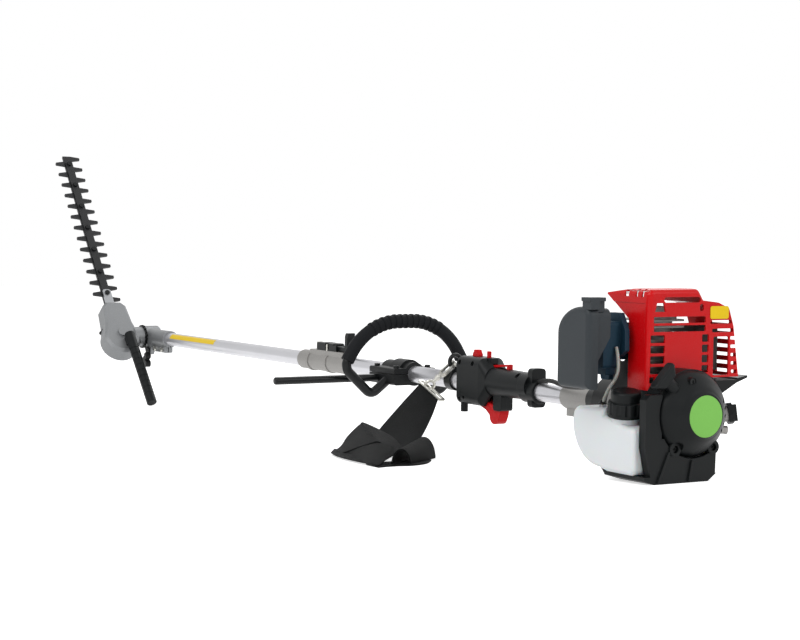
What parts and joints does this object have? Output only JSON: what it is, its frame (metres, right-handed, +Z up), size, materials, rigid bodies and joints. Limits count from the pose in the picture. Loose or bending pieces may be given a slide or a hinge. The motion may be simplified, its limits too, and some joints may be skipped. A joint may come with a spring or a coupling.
{
  "type": "pole hedge trimmer",
  "caption": "Petrol pole hedge trimmer: engine and throttle handle on a two-piece tube, loop handle, harness strap and an angled double-sided cutter head.",
  "frame": {"origin": "on the ground under the middle of the engine guard's flat foot", "axes": "+X from the recoil starter towards the cutter head, along the ground; +Y to the operator's left; +Z up"},
  "size_m": [2.0232, 0.3697, 0.5153],
  "materials": {
    "tube_silver": "satin",
    "cast_grey": "cast",
    "gearcase_grey": "cast",
    "blade_steel": "ground",
    "blade_black": "blackened",
    "black_steel": "gloss black",
    "black_casting": "cast, black",
    "carburettor_blue": "cast",
    "dark_plastic": "matte",
    "black_plastic": "matte",
    "red_plastic": "gloss",
    "tank_plastic": "satin",
    "foam_black": "matte",
    "hose": "satin",
    "cable_black": "matte",
    "webbing": "woven",
    "zinc": "bright",
    "steel_dark": "satin",
    "iron": "cast",
    "rope": "woven"
  },
  "bodies": {
    "main": {"coupler_body": "cast_grey", "latch_block": "black_plastic", "coupler_posts": "zinc", "upper_tube": "tube_silver", "shaft_bushings": "black_plastic", "loop_handle": "black_steel", "loop_grip": "foam_black", "barrier_bar": "black_steel", "bracket_upper": "black_casting", "bracket_lower": "black_casting", "bracket_screws": "black_steel", "harness_ring": "black_steel", "snap_hook": "zinc", "strap_ring": "black_plastic", "harness_strap": "webbing", "handle_left": "black_plastic", "handle_right": "black_plastic", "rear_collar": "black_plastic", "throttle_cable": "cable_black", "case_screws": "zinc", "clutch_housing": "cast_grey", "engine_block": "cast_grey", "top_cover": "red_plastic", "muffler": "iron", "muffler_guard": "black_plastic", "air_filter_case": "dark_plastic", "carburettor": "carburettor_blue", "fuel_tank": "tank_plastic", "fuel_line": "hose", "tank_guard": "black_plastic", "starter_housing": "black_plastic"},
    "attachment": {"lower_tube": "tube_silver", "angle_housing": "gearcase_grey", "housing_screws": "zinc"},
    "head": {"gearcase_body": "gearcase_grey", "gearcase_cover": "gearcase_grey", "index_plate": "black_steel", "head_handle": "black_plastic", "guide_bar": "blade_black", "support_bar": "blade_steel", "head_screws": "black_steel"},
    "upper_blade": {"upper_blade": "blade_black"},
    "lower_blade": {"lower_blade": "blade_black"},
    "crank_gear": {"crank_gear": "steel_dark"},
    "cross_shaft": {"cross_shaft": "steel_dark"},
    "lower_shaft": {"lower_drive_shaft": "steel_dark"},
    "crank_line": {"flywheel": "iron", "upper_drive_shaft": "steel_dark"},
    "lock_lever": {"lock_lever": "black_casting"},
    "latch_lever": {"latch_lever": "black_plastic"},
    "trigger": {"trigger": "red_plastic"},
    "lockout_lever": {"lockout_lever": "red_plastic"},
    "stop_switch": {"stop_switch": "red_plastic"},
    "hold_button": {"hold_button": "red_plastic"},
    "starter_pull": {"starter_grip": "black_plastic", "starter_rope": "rope"},
    "fuel_cap": {"fuel_cap": "black_plastic"},
    "oil_cap": {"oil_cap": "black_plastic"},
    "air_filter_cover": {"air_filter_cover": "dark_plastic"},
    "hook_gate": {"hook_gate": "zinc"}
  },
  "joints": [
    {"name": "attachment_slide", "type": "slide", "parent": "main", "child": "attachment", "axis": [0.9996, 0, 0.0274], "range_m": [0, 0.1]},
    {"name": "head_swing", "type": "hinge", "parent": "attachment", "child": "head", "pos_m": [1.63835, 0.01, 0.13284], "axis": [0, 1, 0], "range_deg": [-35, 95]},
    {"name": "upper_blade_stroke", "type": "slide", "parent": "head", "child": "upper_blade", "axis": [0.6008, 0, 0.7994], "range_m": [-0.007, 0.007]},
    {"name": "lower_blade_stroke", "type": "slide", "parent": "head", "child": "lower_blade", "axis": [0.6008, 0, 0.7994], "range_m": [-0.007, 0.007]},
    {"name": "crank_gear_spin", "type": "hinge", "parent": "head", "child": "crank_gear", "pos_m": [1.63835, 0.059, 0.13284], "axis": [-0.7994, 0, 0.6008], "continuous": true},
    {"name": "cross_shaft_spin", "type": "hinge", "parent": "attachment", "child": "cross_shaft", "pos_m": [1.63835, -0.006, 0.13284], "axis": [0, 1, 0], "continuous": true},
    {"name": "lower_shaft_spin", "type": "hinge", "parent": "attachment", "child": "lower_shaft", "pos_m": [1.63835, -0.006, 0.13284], "axis": [0.9996, 0, 0.0274], "continuous": true},
    {"name": "engine_spin", "type": "hinge", "parent": "main", "child": "crank_line", "pos_m": [-0.085, -0.006, 0.0856], "axis": [0.9996, 0, 0.0274], "continuous": true},
    {"name": "lock_lever_swing", "type": "hinge", "parent": "attachment", "child": "lock_lever", "pos_m": [1.60913, 0.004, 0.10402], "axis": [0, 1, 0], "range_deg": [0, 15], "stiffness_Nm_per_rad": 0.3, "springref_deg": -8.59},
    {"name": "latch_lever_lift", "type": "hinge", "parent": "main", "child": "latch_lever", "pos_m": [0.84397, -0.006, 0.13607], "axis": [0, 1, 0], "range_deg": [0, 60]},
    {"name": "trigger_squeeze", "type": "hinge", "parent": "main", "child": "trigger", "pos_m": [0.43137, -0.006, 0.07924], "axis": [0, 1, 0], "range_deg": [0, 9], "stiffness_Nm_per_rad": 0.5, "springref_deg": -17.19},
    {"name": "lockout_press", "type": "hinge", "parent": "main", "child": "lockout_lever", "pos_m": [0.38822, -0.006, 0.12058], "axis": [0, -1, 0], "range_deg": [0, 5], "stiffness_Nm_per_rad": 0.2, "springref_deg": -11.46},
    {"name": "switch_slide", "type": "slide", "parent": "main", "child": "stop_switch", "axis": [0.9996, 0, 0.0274], "range_m": [0, 0.008]},
    {"name": "hold_button_press", "type": "slide", "parent": "main", "child": "hold_button", "axis": [0.0274, 0, -0.9996], "range_m": [0, 0.004], "stiffness_N_per_m": 100, "springref_m": -0.002},
    {"name": "starter_pull_out", "type": "slide", "parent": "main", "child": "starter_pull", "axis": [-0.0187, 0.7297, 0.6835], "range_m": [0, 0.35], "stiffness_N_per_m": 10, "springref_m": -0.1, "deforming": ["starter_rope"]},
    {"name": "fuel_cap_turn", "type": "hinge", "parent": "main", "child": "fuel_cap", "pos_m": [-0.01103, 0.063, 0.08763], "axis": [-0.1774, 0.1004, 0.979], "continuous": true},
    {"name": "oil_cap_turn", "type": "hinge", "parent": "main", "child": "oil_cap", "pos_m": [-0.00867, -0.042, 0.07469], "axis": [-0.4445, -0.8866, 0.1281], "continuous": true},
    {"name": "air_filter_cover_open", "type": "hinge", "parent": "main", "child": "air_filter_cover", "pos_m": [0.02414, 0.1061, 0.1186], "axis": [-0.9996, 0, -0.0274], "range_deg": [0, 75]},
    {"name": "hook_gate_open", "type": "hinge", "parent": "main", "child": "hook_gate", "pos_m": [0.50179, 0.008, 0.11604], "axis": [0.0169, -0.7861, -0.6178], "range_deg": [0, 10], "stiffness_Nm_per_rad": 0.02, "springref_deg": -17.19}
  ],
  "couplings": [
    {"joint": "lower_blade_stroke", "follows": "upper_blade_stroke", "ratio": -1},
    {"joint": "lower_shaft_spin", "follows": "engine_spin", "ratio": 1},
    {"joint": "cross_shaft_spin", "follows": "engine_spin", "ratio": -1},
    {"joint": "crank_gear_spin", "follows": "engine_spin", "ratio": -0.33333}
  ]
}
